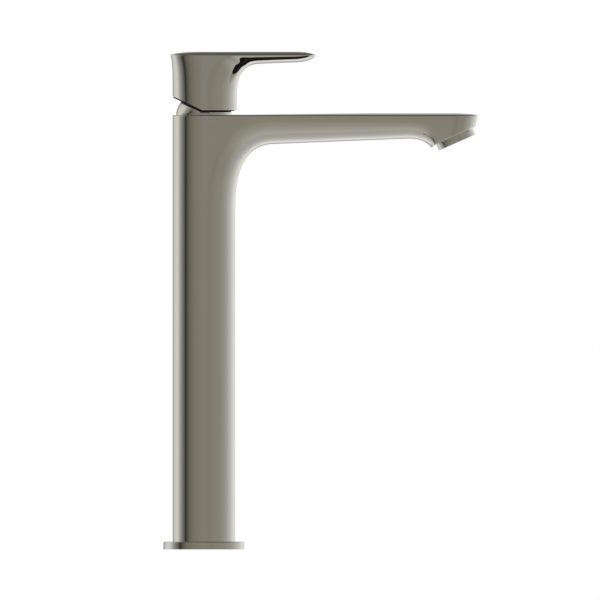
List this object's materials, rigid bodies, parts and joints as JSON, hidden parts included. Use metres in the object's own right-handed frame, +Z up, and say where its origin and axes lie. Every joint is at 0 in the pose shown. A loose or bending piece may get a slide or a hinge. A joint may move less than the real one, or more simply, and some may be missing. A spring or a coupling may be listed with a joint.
{
  "type": "single-lever tall basin mixer tap",
  "caption": "Tall single-lever basin mixer: a round column with a level tapered spout, a lever over a dome and a tilted round aerator.",
  "frame": {"origin": "on the column's axis at the level of the basin deck, at the mouth of the fixing stud's hole", "axes": "+Z up along the column, +X from the column towards the spout's outlet, -Y the hot side, +Y the cold side"},
  "size_m": [0.2107, 0.0544, 0.3334],
  "materials": {
    "body_metal": "polished, warm nickel tone",
    "flange_metal": "polished, warm nickel tone",
    "dome_metal": "polished, warm nickel tone",
    "lever_metal": "polished, warm nickel tone",
    "aerator_metal": "polished, warm nickel tone",
    "plug_metal": "polished, warm nickel tone",
    "raw_brass": "machined",
    "seal_rubber": "matt",
    "cartridge_plastic": "moulded",
    "aerator_plastic": "moulded",
    "disc_ceramic": "lapped",
    "liner_plastic": "moulded, black",
    "steel": "ground",
    "index_red": "gloss",
    "index_blue": "gloss"
  },
  "bodies": {
    "fixed": {"spout_body": "body_metal", "base_flange": "flange_metal", "base_gasket": "seal_rubber", "foot_block": "raw_brass", "foot_seal": "seal_rubber", "supply_tube_hot": "raw_brass", "supply_tube_cold": "raw_brass", "tube_seals": "seal_rubber", "cartridge_base": "cartridge_plastic", "port_seals": "seal_rubber", "disc_seals": "seal_rubber", "fixed_disc": "disc_ceramic", "cartridge_housing": "cartridge_plastic", "thrust_washer": "cartridge_plastic", "cartridge_nut": "raw_brass", "dome_cap": "dome_metal", "dome_seal": "seal_rubber", "aerator_housing": "aerator_metal", "aerator_screen": "aerator_plastic", "aerator_insert": "aerator_plastic", "flow_regulator": "aerator_plastic", "aerator_washer": "seal_rubber"},
    "rotor": {"stem_rotor": "cartridge_plastic", "pivot_pin": "steel"},
    "disc": {"moving_disc": "disc_ceramic", "disc_carrier": "cartridge_plastic"},
    "lever": {"control_stem": "raw_brass", "lever_handle": "lever_metal", "lever_liner": "liner_plastic", "grub_screw": "steel", "index_plug": "plug_metal", "index_hot": "index_red", "index_cold": "index_blue"}
  },
  "joints": [
    {"name": "lever_swivel", "type": "hinge", "parent": "fixed", "child": "rotor", "pos_m": [0, 0, 0.2889], "axis": [0, 0, 1], "range_deg": [-45, 45]},
    {"name": "lever_lift", "type": "hinge", "parent": "rotor", "child": "lever", "pos_m": [0, 0, 0.2889], "axis": [0, -1, 0], "range_deg": [0, 24]},
    {"name": "disc_slide", "type": "slide", "parent": "rotor", "child": "disc", "axis": [1, 0, 0], "range_m": [0, 0.0035]}
  ],
  "couplings": [
    {"joint": "disc_slide", "follows": "lever_lift", "m_per_rad": 0.0082537}
  ]
}
